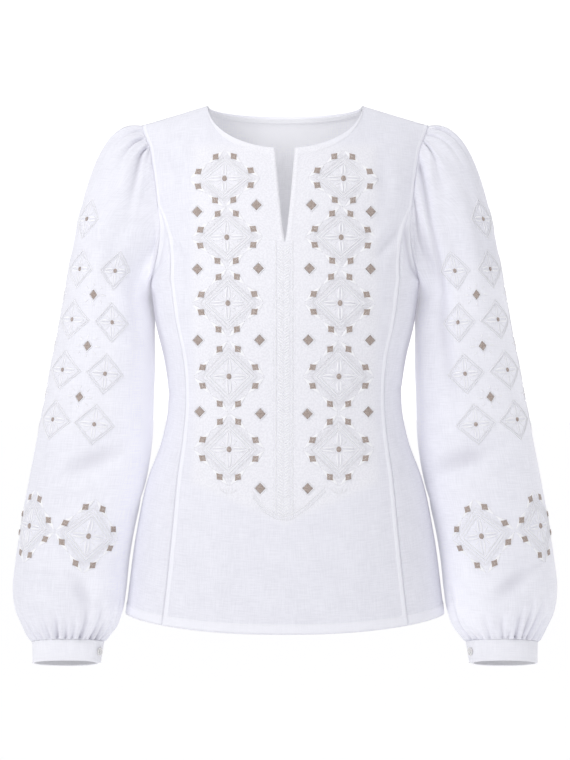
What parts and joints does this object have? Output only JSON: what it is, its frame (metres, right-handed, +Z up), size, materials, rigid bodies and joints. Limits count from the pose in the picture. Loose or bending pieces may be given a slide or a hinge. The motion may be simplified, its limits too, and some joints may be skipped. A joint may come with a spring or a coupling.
{
  "type": "embroidered linen blouse",
  "caption": "Long-sleeved linen folk blouse with a slit round neck, pleated sleeve heads, gathered cuffs and embroidered front and sleeves.",
  "frame": {"origin": "middle of the neck opening, level with the two neck points of the shoulder seams", "axes": "+Z up along the wearer's body, the front faces -Y, +X to the wearer's left"},
  "size_m": [0.6478, 0.264, 0.6716],
  "materials": {
    "linen": "plain-weave linen with white and taupe embroidery",
    "doubled_linen": "doubled plain-weave linen",
    "button": "satin white"
  },
  "bodies": {
    "root": {"front": "linen", "back": "linen", "neck_facing": "doubled_linen", "side_front_left": "linen", "side_front_right": "linen", "sleeve_left": "linen", "sleeve_right": "linen", "cuff_left": "doubled_linen", "cuff_right": "doubled_linen", "cuff_button_left": "button", "cuff_button_right": "button"}
  },
  "joints": []
}
